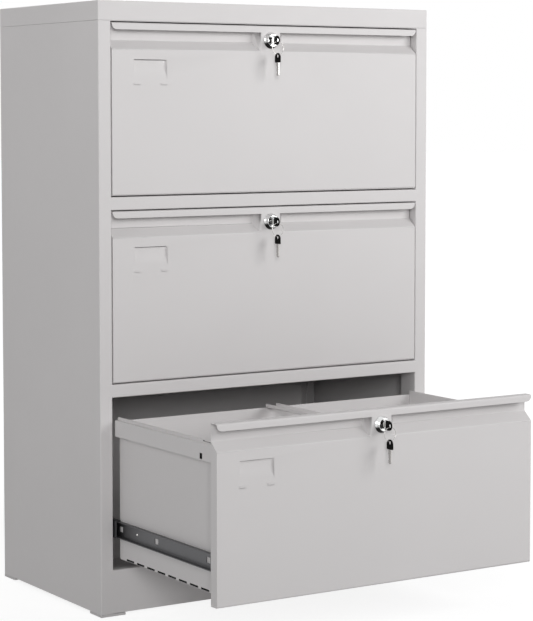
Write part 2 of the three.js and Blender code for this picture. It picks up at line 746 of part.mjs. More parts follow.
// The origin is the centre of the footprint, open drawer included, at floor level
const footprint = new THREE.Box3().setFromObject(cabinet, true);
cabinet.position.y = -(footprint.min.y + footprint.max.y) / 2;

export default cabinet;
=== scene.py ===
"""Looks of a lateral filing cabinet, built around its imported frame.

The folded sheets get eased edges and powder coat, the slides zinc, the locks chrome, the keys moulded heads.
All sizes are in metres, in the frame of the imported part: +Z up, the front faces -Y, the feet stand on Z = 0.
"""

import json
import math

import bmesh
import bpy
from bpy.props import FloatProperty, FloatVectorProperty, IntProperty, PointerProperty
from bpy.types import Operator, Panel, PropertyGroup
from mathutils import Matrix, Vector


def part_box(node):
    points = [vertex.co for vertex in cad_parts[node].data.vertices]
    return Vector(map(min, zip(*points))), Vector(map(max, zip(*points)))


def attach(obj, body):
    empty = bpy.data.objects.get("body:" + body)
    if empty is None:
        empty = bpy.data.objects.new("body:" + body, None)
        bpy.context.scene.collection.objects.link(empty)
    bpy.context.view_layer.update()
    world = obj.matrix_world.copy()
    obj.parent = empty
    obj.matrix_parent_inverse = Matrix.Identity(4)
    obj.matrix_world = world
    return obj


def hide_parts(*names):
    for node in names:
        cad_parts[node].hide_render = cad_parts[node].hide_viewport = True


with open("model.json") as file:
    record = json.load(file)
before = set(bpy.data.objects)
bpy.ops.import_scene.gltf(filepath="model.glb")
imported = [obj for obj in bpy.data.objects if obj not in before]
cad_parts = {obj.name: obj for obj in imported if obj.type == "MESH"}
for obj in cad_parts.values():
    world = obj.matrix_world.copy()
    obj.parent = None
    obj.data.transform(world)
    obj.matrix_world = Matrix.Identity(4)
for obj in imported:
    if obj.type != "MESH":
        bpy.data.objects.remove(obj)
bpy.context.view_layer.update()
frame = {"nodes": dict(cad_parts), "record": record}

bl_info = {
    "name": "Lateral filing cabinet",
    "version": (1, 0, 0),
    "blender": (4, 5, 0),
    "location": "View3D > Sidebar > Cabinet",
    "description": "Dresses the frame of a lateral filing cabinet and sets its stage",
    "category": "Object",
}

MM = 0.001
LEVELS = ("top", "middle", "bottom")
SIDES = ("left", "right")
SIDE_SHEETS = ("left_side_panel", "right_side_panel")
CROSS_SHEETS = ("base_panel", "top_rail", "upper_rail", "lower_rail")
FEET = ("front_left_foot", "front_right_foot", "rear_left_foot", "rear_right_foot")
SLIDE_MEMBERS = ("outer", "middle", "inner")

# The mesh attribute that masks the painted reflection shade on the chrome.
REFLECTION_SHADE = "painted_reflection_shade"
MERGE_DISTANCE = 0.01 * MM
FLAT_ANGLE = math.radians(0.5)
SHARP_ANGLE = math.radians(50)
BODY_OF_NODE = {
    node: body
    for body, nodes in frame["record"]["behaviour"]["bodies"].items()
    for node in nodes
}


class CabinetFinishes(PropertyGroup):
    """Colours and gloss of the cabinet's finishes"""

    paint: FloatVectorProperty(
        name="Paint",
        description="Colour of the powder coat on all sheets",
        subtype="COLOR",
        default=(0.66, 0.642, 0.642),
        min=0.0,
        max=1.0,
    )
    paint_roughness: FloatProperty(
        name="Paint roughness",
        description="Mean roughness of the powder coat",
        subtype="FACTOR",
        default=0.5,
        min=0.0,
        max=1.0,
    )
    paint_peel: FloatProperty(
        name="Paint peel",
        description="Height of the fine orange peel in the powder coat",
        subtype="DISTANCE",
        default=0.02 * MM,
    )
    zinc: FloatVectorProperty(
        name="Slide zinc",
        description="Colour of the dark zinc on the slide members",
        subtype="COLOR",
        default=(0.086, 0.086, 0.091),
        min=0.0,
        max=1.0,
    )
    chrome: FloatVectorProperty(
        name="Chrome",
        description="Colour of the chrome on the locks",
        subtype="COLOR",
        default=(0.84, 0.845, 0.845),
        min=0.0,
        max=1.0,
    )
    # Painted reflection shade: the chrome turns to this colour where it faces away from the front and down.
    chrome_reflection_shade: FloatVectorProperty(
        name="Dark chrome",
        description="Colour of the chrome where it is turned away and towards the floor",
        subtype="COLOR",
        default=(0.02, 0.02, 0.02),
        min=0.0,
        max=1.0,
    )
    steel: FloatVectorProperty(
        name="Key steel",
        description="Colour of the nickelled key blades and rings",
        subtype="COLOR",
        default=(0.52, 0.51, 0.495),
        min=0.0,
        max=1.0,
    )
    key_plastic: FloatVectorProperty(
        name="Key plastic",
        description="Colour of the moulded key heads",
        subtype="COLOR",
        default=(0.004, 0.004, 0.004),
        min=0.0,
        max=1.0,
    )
    # Near-black: bare steel, and painted shade in the hollows behind the drawer slots and in the lock grooves.
    bare_steel_and_shade: FloatVectorProperty(
        name="Bare steel",
        description="Colour of the dark steel inside hollows that paint and plating do not reach",
        subtype="COLOR",
        default=(0.02, 0.02, 0.021),
        min=0.0,
        max=1.0,
    )
    foot_plastic: FloatVectorProperty(
        name="Foot plastic",
        description="Colour of the moulded feet",
        subtype="COLOR",
        default=(0.6, 0.585, 0.585),
        min=0.0,
        max=1.0,
    )


class CabinetEdges(PropertyGroup):
    """Radii of the eased edges"""

    cap: FloatProperty(
        name="Cap edge",
        description="Radius of the folded edges of the top cap",
        subtype="DISTANCE",
        default=1.8 * MM,
    )
    sheet: FloatProperty(
        name="Sheet edge",
        description="Width of the paint-rounded edge of a cut sheet",
        subtype="DISTANCE",
        default=0.25 * MM,
    )
    front_end: FloatProperty(
        name="Drawer front end",
        description="Radius where a drawer front's face turns into its end plates",
        subtype="DISTANCE",
        default=1.4 * MM,
    )
    boss_foot: FloatProperty(
        name="Boss foot",
        description="Width of the soft bend where the lock boss rises from the recess",
        subtype="DISTANCE",
        default=4.0 * MM,
    )
    boss_inner: FloatProperty(
        name="Boss foot inner side",
        description="Half width of the lock boss inside its feet",
        subtype="DISTANCE",
        default=23.0 * MM,
    )
    boss_outer: FloatProperty(
        name="Boss foot outer side",
        description="Half width of the lock boss outside its feet",
        subtype="DISTANCE",
        default=32.0 * MM,
    )
    slide: FloatProperty(
        name="Slide edge",
        description="Width of the eased edges of the slide members",
        subtype="DISTANCE",
        default=0.2 * MM,
    )
    foot: FloatProperty(
        name="Foot edge",
        description="Radius of the moulded edges of the feet",
        subtype="DISTANCE",
        default=1.0 * MM,
    )


class CabinetDetails(PropertyGroup):
    """Sizes of welds, rivets and hollows"""

    weld_reach: FloatProperty(
        name="Weld reach",
        description="How far the ends of the cross sheets run into the folds of the side panels",
        subtype="DISTANCE",
        default=2.3 * MM,
    )
    seam_lap: FloatProperty(
        name="Seam lap",
        description="How far the back panel runs down over the edge of the cabinet floor",
        subtype="DISTANCE",
        default=0.6 * MM,
    )
    sheet_wall: FloatProperty(
        name="Sheet thickness",
        description="Thickness of the drawer's sheets",
        subtype="DISTANCE",
        default=1.0 * MM,
    )
    band_lip: FloatProperty(
        name="Band lip",
        description="From the top of a drawer side's file lip down to the top of its band",
        subtype="DISTANCE",
        default=5.0 * MM,
    )
    band_height: FloatProperty(
        name="Band height",
        description="Height of the proud band along the top of a drawer side",
        subtype="DISTANCE",
        default=30.0 * MM,
    )
    band_proud: FloatProperty(
        name="Band stand-off",
        description="How far the band stands out from a drawer side's wall",
        subtype="DISTANCE",
        default=9.3 * MM,
    )
    rivet_radius: FloatProperty(
        name="Rivet radius",
        description="Radius of the round head of the slide rivets",
        subtype="DISTANCE",
        default=2.6 * MM,
    )
    rivet_proud: FloatProperty(
        name="Rivet height",
        description="How far a rivet head stands off the slide",
        subtype="DISTANCE",
        default=1.4 * MM,
    )
    rivet_setback: FloatProperty(
        name="Rivet setback",
        description="From the front end of an inner slide back to its rivet",
        subtype="DISTANCE",
        default=268.0 * MM,
    )
    slide_wall: FloatProperty(
        name="Slide wall",
        description="Thickness of the rolled sheet of the slides",
        subtype="DISTANCE",
        default=1.2 * MM,
    )


class CabinetLocks(PropertyGroup):
    """Sizes of the locks, keys and rings"""

    spin_steps: IntProperty(
        name="Spin steps",
        description="Steps in the turned pieces",
        default=64,
        min=12,
    )
    face_radius: FloatProperty(
        name="Bezel face radius",
        description="Outer radius of the bezel's flat face",
        subtype="DISTANCE",
        default=11.2 * MM,
    )
    groove_radius: FloatProperty(
        name="Bezel groove radius",
        description="Radius of the deep groove round the plug",
        subtype="DISTANCE",
        default=8.2 * MM,
    )
    groove_depth: FloatProperty(
        name="Bezel groove depth",
        description="Depth of the groove round the plug",
        subtype="DISTANCE",
        default=3.5 * MM,
    )
    bore_radius: FloatProperty(
        name="Housing bore radius",
        description="Radius of the bore that the plug turns in",
        subtype="DISTANCE",
        default=6.3 * MM,
    )
    barrel_radius: FloatProperty(
        name="Barrel radius",
        description="Radius of the barrel behind the bezel",
        subtype="DISTANCE",
        default=9.0 * MM,
    )
    rim: FloatProperty(
        name="Bezel rim",
        description="Height of the upright rim at the foot of the bezel",
        subtype="DISTANCE",
        default=1.0 * MM,
    )
    bezel_depth: FloatProperty(
        name="Bezel depth",
        description="How far the bezel stands off the drawer front, its seat included",
        subtype="DISTANCE",
        default=8.2 * MM,
    )
    turned_edge: FloatProperty(
        name="Turned edge",
        description="Radius of the turned edges of the bezel",
        subtype="DISTANCE",
        default=0.45 * MM,
    )
    head_length: FloatProperty(
        name="Key head length",
        description="Length of the moulded key head",
        subtype="DISTANCE",
        default=17.5 * MM,
    )
    head_corner: FloatProperty(
        name="Key head corner",
        description="Radius of the key head's corners next to the blade",
        subtype="DISTANCE",
        default=2.0 * MM,
    )
    head_edge: FloatProperty(
        name="Key head edge",
        description="Radius of the moulded edges of the key head",
        subtype="DISTANCE",
        default=0.6 * MM,
    )
    hole_radius: FloatProperty(
        name="Key hole radius",
        description="Radius of the hole for the ring",
        subtype="DISTANCE",
        default=3.3 * MM,
    )
    hole_setback: FloatProperty(
        name="Key hole setback",
        description="From the round end of the head to the middle of the hole",
        subtype="DISTANCE",
        default=5.5 * MM,
    )
    blade_width: FloatProperty(
        name="Key blade width",
        description="Width of the key blade",
        subtype="DISTANCE",
        default=7.6 * MM,
    )
    blade_sheet: FloatProperty(
        name="Key blade thickness",
        description="Thickness of the key blade",
        subtype="DISTANCE",
        default=1.9 * MM,
    )
    blade_cuts: IntProperty(
        name="Key cuts",
        description="Number of cuts along one edge of the blade",
        default=5,
        min=1,
    )
    cut_depth: FloatProperty(
        name="Key cut depth",
        description="Depth of the deepest cut in the blade",
        subtype="DISTANCE",
        default=1.8 * MM,
    )
    wire_sides: IntProperty(
        name="Ring wire sides",
        description="Sides of the round wire of the key ring",
        default=10,
        min=6,
    )


class CabinetStage(PropertyGroup):
    """Camera, lights and floor"""

    camera_place: FloatVectorProperty(
        name="Camera place",
        description="Where the camera stands",
        subtype="TRANSLATION",
        unit="LENGTH",
        default=(-2.0859, -3.2544, 0.9109),
    )
    camera_yaw: FloatProperty(
        name="Camera yaw",
        description="How far the camera looks from +Y towards +X",
        subtype="ANGLE",
        default=math.radians(32.59),
    )
    camera_pitch: FloatProperty(
        name="Camera pitch",
        description="How far the camera looks down",
        subtype="ANGLE",
        default=math.radians(3.865),
    )
    lens: FloatProperty(
        name="Lens",
        description="Focal length in millimetres on a 36 mm sensor",
        default=120.55,
    )
    shift: FloatProperty(
        name="Lens shift",
        description="Vertical shift of the lens, as a share of the taller side",
        default=-0.1,
    )
    key_place: FloatVectorProperty(
        name="Key light place",
        description="Middle of the large soft light at the front right",
        subtype="TRANSLATION",
        unit="LENGTH",
        default=(1.75, -2.05, 1.65),
    )
    key_size: FloatProperty(
        name="Key light size",
        description="Side of the square soft light at the front right",
        subtype="DISTANCE",
        default=1.4,
    )
    key_power: FloatProperty(
        name="Key light power",
        description="Power of the soft light at the front right in watts",
        default=37.3,
    )
    front_place: FloatVectorProperty(
        name="Front light place",
        description="Middle of the soft light at the front left",
        subtype="TRANSLATION",
        unit="LENGTH",
        default=(-2.6, -5.0, 2.2),
    )
    front_size: FloatProperty(
        name="Front light size",
        description="Side of the square soft light at the front left",
        subtype="DISTANCE",
        default=2.0,
    )
    front_power: FloatProperty(
        name="Front light power",
        description="Power of the soft light at the front left in watts",
        default=19.4,
    )
    side_place: FloatVectorProperty(
        name="Side light place",
        description="Middle of the soft light beside the left side panel",
        subtype="TRANSLATION",
        unit="LENGTH",
        default=(-5.0, -0.4, 2.2),
    )
    side_size: FloatProperty(
        name="Side light size",
        description="Side of the square soft light at the left",
        subtype="DISTANCE",
        default=2.0,
    )
    side_power: FloatProperty(
        name="Side light power",
        description="Power of the side light in watts",
        default=7.4,
    )
    top_place: FloatVectorProperty(
        name="Top light place",
        description="Middle of the soft light above and behind, which lights the top and the back",
        subtype="TRANSLATION",
        unit="LENGTH",
        default=(0.0, 1.0, 2.6),
    )
    top_size: FloatProperty(
        name="Top light size",
        description="Side of the square soft light above and behind",
        subtype="DISTANCE",
        default=1.2,
    )
    top_power: FloatProperty(
        name="Top light power",
        description="Power of the soft light above and behind in watts",
        default=13.0,
    )
    far_spread: FloatProperty(
        name="Far light spread",
        description="Angle over which the far lights at the front left and the left spread",
        subtype="ANGLE",
        default=math.radians(60),
    )
    far_aim: FloatVectorProperty(
        name="Far light aim",
        description="The point that the far lights face, high so that their light fades downwards",
        subtype="TRANSLATION",
        unit="LENGTH",
        default=(0.0, 0.0, 1.5),
    )
    light_aim: FloatVectorProperty(
        name="Light aim",
        description="The point that the near lights face",
        subtype="TRANSLATION",
        unit="LENGTH",
        default=(0.0, 0.0, 1.1),
    )
    ambient: FloatProperty(
        name="Ambient light",
        description="Level of the even light from all round",
        default=0.158,
    )
    floor_glow: FloatProperty(
        name="Floor glow",
        description="Level of the light that the bright floor sends back up",
        default=0.172,
    )
    floor_colour: FloatProperty(
        name="Floor colour",
        description="How much of the light the pale floor sends back",
        subtype="FACTOR",
        default=0.4,
    )
    floor_white: FloatProperty(
        name="Floor white",
        description="How white the floor near the object shows where no light reaches it",
        subtype="FACTOR",
        default=0.84,
    )
    floor_near: FloatProperty(
        name="Floor near",
        description="Distance from the object's middle at which the floor starts to turn pure white",
        subtype="DISTANCE",
        default=0.8,
    )
    floor_far: FloatProperty(
        name="Floor far",
        description="Distance from the object's middle at which the floor is pure white",
        subtype="DISTANCE",
        default=2.5,
    )
    floor_shade: FloatProperty(
        name="Floor shade",
        description="How much whiter the floor shows in full light",
        subtype="FACTOR",
        default=0.3,
    )
    floor_half: FloatProperty(
        name="Floor half side",
        description="Half the side of the square floor",
        subtype="DISTANCE",
        default=30.0,
    )


# Materials

def empty_material(name):
    """A new material with a Principled shader, its nodes and links."""
    material = bpy.data.materials.new(name)
    material.use_nodes = True
    nodes = material.node_tree.nodes
    return material, nodes, material.node_tree.links, nodes["Principled BSDF"]


def noise(nodes, links, scale, detail, stretch=(1.0, 1.0, 1.0)):
    """Noise on Object coordinates, stretched along the axes. Scale is in cycles per metre."""
    place = nodes.new("ShaderNodeTexCoord")
    mapping = nodes.new("ShaderNodeMapping")
    texture = nodes.new("ShaderNodeTexNoise")
    mapping.inputs["Scale"].default_value = stretch
    texture.inputs["Scale"].default_value = scale
    texture.inputs["Detail"].default_value = detail
    links.new(place.outputs["Object"], mapping.inputs["Vector"])
    links.new(mapping.outputs["Vector"], texture.inputs["Vector"])
    return texture.outputs["Fac"]


def ranged(nodes, links, value, low, high):
    """The noise value spread over a range of numbers."""
    spread = nodes.new("ShaderNodeMapRange")
    spread.inputs["From Min"].default_value = 0.3
    spread.inputs["From Max"].default_value = 0.7
    spread.inputs["To Min"].default_value = low
    spread.inputs["To Max"].default_value = high
    links.new(value, spread.inputs["Value"])
    return spread.outputs["Result"]


def tinted(nodes, links, value, colour, variation):
    """A colour that drifts a little lighter and darker with the noise value."""
    ramp = nodes.new("ShaderNodeValToRGB")
    dark, light = ramp.color_ramp.elements
    dark.position = 0.3
    light.position = 0.7
    dark.color = [*(part * (1 - variation) for part in colour), 1.0]
    light.color = [*(min(1.0, part * (1 + variation)) for part in colour), 1.0]
    links.new(value, ramp.inputs["Fac"])
    return ramp.outputs["Color"]


def bumped(nodes, links, value, distance, strength=1.0):
    """A normal bent by the noise value as a height."""
    bump = nodes.new("ShaderNodeBump")
    bump.inputs["Distance"].default_value = distance
    bump.inputs["Strength"].default_value = strength
    links.new(value, bump.inputs["Height"])
    return bump.outputs["Normal"]


def powder_coat(finishes):
    """Light grey powder coat with fine orange peel."""
    material, nodes, links, shader = empty_material("powder_coat")
    drift = noise(nodes, links, 4.0, 2.0)
    cloud = noise(nodes, links, 60.0, 3.0)
    peel = noise(nodes, links, 650.0, 2.0)
    rough = finishes.paint_roughness
    links.new(tinted(nodes, links, drift, finishes.paint, 0.012), shader.inputs["Base Color"])
    links.new(ranged(nodes, links, cloud, rough - 0.04, rough + 0.04), shader.inputs["Roughness"])
    links.new(bumped(nodes, links, peel, finishes.paint_peel), shader.inputs["Normal"])
    shader.inputs["Specular IOR Level"].default_value = 0.35
    return material


def slide_zinc(finishes):
    """Dark zinc with rolling streaks along the slides."""
    material, nodes, links, shader = empty_material("slide_zinc")
    streaks = noise(nodes, links, 300.0, 3.0, (1.0, 0.03, 1.0))
    spangle = noise(nodes, links, 120.0, 2.0)
    links.new(tinted(nodes, links, spangle, finishes.zinc, 0.15), shader.inputs["Base Color"])
    links.new(ranged(nodes, links, streaks, 0.34, 0.5), shader.inputs["Roughness"])
    links.new(bumped(nodes, links, streaks, 0.01 * MM), shader.inputs["Normal"])
    shader.inputs["Metallic"].default_value = 0.85
    return material


def chrome_plate(finishes):
    """Bright chrome, clouded a little by handling, with painted reflection shade: darker where it turns away from the
    front, darkest towards the floor.
    """
    material, nodes, links, shader = empty_material("chrome_plate")
    haze = noise(nodes, links, 220.0, 3.0)
    # Painted reflection shade: the attribute mixes the chrome towards its dark shade colour.
    away = nodes.new("ShaderNodeAttribute")
    away.attribute_name = REFLECTION_SHADE
    both = nodes.new("ShaderNodeMixRGB")
    links.new(away.outputs["Fac"], both.inputs["Fac"])
    links.new(tinted(nodes, links, haze, finishes.chrome, 0.04), both.inputs["Color1"])
    both.inputs["Color2"].default_value = (*finishes.chrome_reflection_shade, 1.0)
    links.new(both.outputs["Color"], shader.inputs["Base Color"])
    links.new(ranged(nodes, links, haze, 0.08, 0.16), shader.inputs["Roughness"])
    shader.inputs["Metallic"].default_value = 1.0
    return material


def key_steel(finishes):
    """Nickelled steel with fine scratches."""
    material, nodes, links, shader = empty_material("key_steel")
    scratches = noise(nodes, links, 900.0, 3.0, (1.0, 0.2, 1.0))
    links.new(tinted(nodes, links, scratches, finishes.steel, 0.06), shader.inputs["Base Color"])
    links.new(ranged(nodes, links, scratches, 0.18, 0.32), shader.inputs["Roughness"])
    links.new(bumped(nodes, links, scratches, 0.005 * MM), shader.inputs["Normal"])
    shader.inputs["Metallic"].default_value = 1.0
    return material


def bare_steel_and_shade(finishes):
    """Dark mill steel inside the hollows, made near-black as painted shade there."""
    material, nodes, links, shader = empty_material("bare_steel_and_shade")
    scale = noise(nodes, links, 150.0, 3.0)
    links.new(tinted(nodes, links, scale, finishes.bare_steel_and_shade, 0.2), shader.inputs["Base Color"])
    links.new(ranged(nodes, links, scale, 0.6, 0.75), shader.inputs["Roughness"])
    shader.inputs["Specular IOR Level"].default_value = 0.15
    return material


def moulded_plastic(name, colour, rough, grain, shine):
    """Moulded plastic with a fine spark-eroded grain."""
    material, nodes, links, shader = empty_material(name)
    cloud = noise(nodes, links, 90.0, 2.0)
    pits = noise(nodes, links, 1800.0, 3.0)
    links.new(tinted(nodes, links, cloud, colour, 0.08), shader.inputs["Base Color"])
    links.new(ranged(nodes, links, cloud, rough - 0.05, rough + 0.05), shader.inputs["Roughness"])
    links.new(bumped(nodes, links, pits, grain), shader.inputs["Normal"])
    shader.inputs["Specular IOR Level"].default_value = shine
    return material


def shared_material(name, make, *settings):
    """The material of that name, made once."""
    return bpy.data.materials.get(name) or make(*settings)


def paint_of(context):
    return shared_material("powder_coat", powder_coat, context.scene.cabinet_finishes)


def zinc_of(context):
    return shared_material("slide_zinc", slide_zinc, context.scene.cabinet_finishes)


def chrome_of(context):
    return shared_material("chrome_plate", chrome_plate, context.scene.cabinet_finishes)


def steel_of(context):
    return shared_material("key_steel", key_steel, context.scene.cabinet_finishes)


def key_plastic_of(context):
    colour = context.scene.cabinet_finishes.key_plastic
    return shared_material("key_plastic", moulded_plastic, "key_plastic", colour, 0.5, 0.02 * MM, 0.04)


def foot_plastic_of(context):
    colour = context.scene.cabinet_finishes.foot_plastic
    return shared_material("foot_plastic", moulded_plastic, "foot_plastic", colour, 0.6, 0.04 * MM, 0.5)


def bare_steel_and_shade_of(context):
    return shared_material("bare_steel_and_shade", bare_steel_and_shade, context.scene.cabinet_finishes)


# Shapes

def merged_copy(node):
    """A bmesh of a CAD node with its triangles merged into whole flat faces."""
    bm = bmesh.new()
    bm.from_mesh(frame["nodes"][node].data)
    bmesh.ops.remove_doubles(bm, verts=bm.verts, dist=MERGE_DISTANCE)
    bmesh.ops.dissolve_limit(
        bm,
        angle_limit=FLAT_ANGLE,
        use_dissolve_boundaries=False,
        verts=bm.verts,
        edges=bm.edges,
    )
    return bm


def sharp_edges(bm):
    """The edges at which two faces meet at a sharp angle."""
    return [edge for edge in bm.edges if edge.is_manifold and edge.calc_face_angle() > SHARP_ANGLE]


def eased(bm, edges, width, segments):
    """Rounds the given edges."""
    bmesh.ops.bevel(
        bm,
        geom=edges,
        offset=width,
        offset_type="OFFSET",
        affect="EDGES",
        segments=segments,
        profile=0.5,
        clamp_overlap=True,
        material=-1,
    )


def finished(name, bm, materials, body, slot, *nodes):
    """Makes the piece of a bmesh, with its finishes, its body and the CAD nodes that it stands for."""
    mesh = bpy.data.meshes.new(name)
    for face in bm.faces:
        face.smooth = True
    bm.to_mesh(mesh)
    bm.free()
    mesh.set_sharp_from_angle(angle=SHARP_ANGLE)
    for finish in materials:
        mesh.materials.append(finish)
    piece = bpy.data.objects.new(name, mesh)
    bpy.context.scene.collection.objects.link(piece)
    normals = piece.modifiers.new("Flat faces", "WEIGHTED_NORMAL")
    normals.keep_sharp = True
    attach(piece, body)
    if nodes:
        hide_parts(*nodes)
    return piece


def dressed_sheet(node, width, material, slot):
    """A CAD node with all its sharp edges eased a little."""
    bm = merged_copy(node)
    eased(bm, sharp_edges(bm), width, 2)
    return finished(f"{node}_finish", bm, [material], BODY_OF_NODE[node], slot, node)


def turned(profile, steps, place):
    """A profile of (radius, along Y) spun round the Y axis and put in its place. It closes on itself off the axis."""
    bm = bmesh.new()
    verts = [bm.verts.new((radius, along, 0.0)) for radius, along in profile]
    edges = [bm.edges.new(pair) for pair in zip(verts, verts[1:])]
    if profile[0][0] > 0.0:
        edges.append(bm.edges.new((verts[-1], verts[0])))
    bmesh.ops.spin(
        bm,
        geom=verts + edges,
        cent=(0.0, 0.0, 0.0),
        axis=(0.0, 1.0, 0.0),
        angle=2 * math.pi,
        steps=steps,
        use_merge=True,
        use_duplicate=False,
    )
    bmesh.ops.remove_doubles(bm, verts=bm.verts, dist=MERGE_DISTANCE)
    bmesh.ops.recalc_face_normals(bm, faces=bm.faces)
    bmesh.ops.transform(bm, matrix=place, verts=bm.verts)
    return bm


# Carcass

class CABINET_OT_paint_carcass(Operator):
    """Ease and paint the sheets of the carcass"""

    bl_idname = "cabinet.paint_carcass"
    bl_label = "Paint carcass"

    def execute(self, context):
        edges = context.scene.cabinet_edges
        paint = paint_of(context)
        for node in SIDE_SHEETS:
            dressed_sheet(node, edges.sheet, paint, "grey_paint")
        self.paint_back(edges, context.scene.cabinet_details.seam_lap, paint)
        for node in CROSS_SHEETS:
            self.paint_cross_sheet(node, edges, context.scene.cabinet_details.weld_reach, paint)
        self.paint_cap(edges, paint)
        return {"FINISHED"}

    def paint_back(self, edges, lap, paint):
        """The lower edge of the back panel laps the cabinet floor, so no light shows through the seam."""
        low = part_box("back_panel")[0]
        bm = merged_copy("back_panel")
        for vert in bm.verts:
            if vert.co.z < low.z + MERGE_DISTANCE:
                vert.co.z -= lap
        eased(bm, sharp_edges(bm), edges.sheet, 2)
        finished("back_panel_finish", bm, [paint], BODY_OF_NODE["back_panel"], "grey_paint", "back_panel")

    def paint_cross_sheet(self, node, edges, reach, paint):
        """The ends of a cross sheet run into the side panels' folds, where the welds are dressed flush."""
        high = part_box(node)[1]
        bm = merged_copy(node)
        for vert in bm.verts:
            if abs(abs(vert.co.x) - high.x) < MERGE_DISTANCE:
                vert.co.x += math.copysign(reach, vert.co.x)
        eased(bm, sharp_edges(bm), edges.sheet, 2)
        finished(f"{node}_finish", bm, [paint], BODY_OF_NODE[node], "grey_paint", node)

    def paint_cap(self, edges, paint):
        """The top edges and upright corners of the cap are folded, its lower edge is only paint-rounded."""
        low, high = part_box("top_cap")
        bm = merged_copy("top_cap")

        def on_outside(vert):
            across = abs(abs(vert.co.x) - high.x)
            along = min(abs(vert.co.y - low.y), abs(vert.co.y - high.y))
            return min(across, along) < MERGE_DISTANCE

        def at_bottom(edge):
            return all(abs(vert.co.z - low.z) < MERGE_DISTANCE for vert in edge.verts)

        outer = [edge for edge in sharp_edges(bm) if all(on_outside(vert) for vert in edge.verts)]
        folded = [edge for edge in outer if edge.is_convex and not at_bottom(edge)]
        eased(bm, folded, edges.cap, 4)
        eased(bm, [edge for edge in sharp_edges(bm) if at_bottom(edge)], edges.sheet, 2)
        finished("top_cap_finish", bm, [paint], BODY_OF_NODE["top_cap"], "grey_paint", "top_cap")


class CABINET_OT_mould_feet(Operator):
    """Round and grain the moulded feet"""

    bl_idname = "cabinet.mould_feet"
    bl_label = "Mould feet"

    def execute(self, context):
        width = context.scene.cabinet_edges.foot
        plastic = foot_plastic_of(context)
        for node in FEET:
            bm = merged_copy(node)
            eased(bm, sharp_edges(bm), width, 3)
            finished(f"{node}_finish", bm, [plastic], BODY_OF_NODE[node], "foot_plastic", node)
        return {"FINISHED"}


# Drawers

class CABINET_OT_paint_drawers(Operator):
    """Ease and paint the fronts, trays, sides and file rails of the drawers"""

    bl_idname = "cabinet.paint_drawers"
    bl_label = "Paint drawers"

    def execute(self, context):
        edges = context.scene.cabinet_edges
        paint = paint_of(context)
        for level in LEVELS:
            for node in (f"{level}_drawer_tray", f"{level}_file_rail"):
                dressed_sheet(node, edges.sheet, paint, "grey_paint")
            for side in SIDES:
                self.paint_side(context, f"{level}_drawer_{side}_side", edges, paint)
            self.paint_front(f"{level}_drawer_front", edges, paint)
        return {"FINISHED"}

    def paint_side(self, context, node, edges, paint):
        """Paint does not reach into the closed band, which stays bare steel. The band's inside and the faces under the
        tray take the near-black material as painted shade, so the slots show dark.
        """
        details = context.scene.cabinet_details
        low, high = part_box(node)
        band_top = high.z - details.band_lip
        band_bottom = band_top - details.band_height
        outer = max(abs(low.x), abs(high.x))
        bm = merged_copy(node)
        bmesh.ops.bisect_plane(
            bm,
            geom=[*bm.verts, *bm.edges, *bm.faces],
            dist=MERGE_DISTANCE,
            plane_co=(0.0, 0.0, band_bottom + edges.sheet),
            plane_no=(0.0, 0.0, 1.0),
        )
        eased(bm, sharp_edges(bm), edges.sheet, 2)

        def in_band(face):
            spot = face.calc_center_median()
            across = outer - abs(spot.x)
            hollow = details.sheet_wall - MERGE_DISTANCE < across < details.band_proud + MERGE_DISTANCE
            return hollow and band_bottom < spot.z < band_top - 1.5 * details.sheet_wall

        def under_tray(face):
            return face.normal.z > 0.5 and face.calc_center_median().z < low.z + 2 * details.sheet_wall

        bm.normal_update()
        # Painted shade: the hollows behind the slots take the near-black material.
        for face in bm.faces:
            if in_band(face) or under_tray(face):
                face.material_index = 1
        bare_and_shade = bare_steel_and_shade_of(context)
        finished(f"{node}_finish", bm, [paint, bare_and_shade], BODY_OF_NODE[node], "grey_paint", node)

    def paint_front(self, node, edges, paint):
        """The face of a front is folded round into its end plates."""
        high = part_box(node)[1]
        bm = merged_copy(node)

        def at_end(vert):
            return abs(abs(vert.co.x) - high.x) < MERGE_DISTANCE

        def shows(edge):
            return any(face.normal.y < -0.5 and abs(face.normal.x) < 0.1 for face in edge.link_faces)

        folded = [
            edge
            for edge in sharp_edges(bm)
            if edge.is_convex and all(at_end(vert) for vert in edge.verts) and shows(edge) and edge.calc_length() > 0.01
        ]
        eased(bm, folded, edges.front_end, 3)

        def at_boss_foot(edge):
            inside = all(edges.boss_inner < abs(vert.co.x) < edges.boss_outer for vert in edge.verts)
            showing = all(face.normal.y < 0.0 for face in edge.link_faces)
            return inside and showing and not edge.is_convex and edge.calc_length() > 2 * edges.boss_foot

        eased(bm, [edge for edge in sharp_edges(bm) if at_boss_foot(edge)], edges.boss_foot, 4)
        finished(f"{node}_finish", bm, [paint], BODY_OF_NODE[node], "grey_paint", node)


# Slides

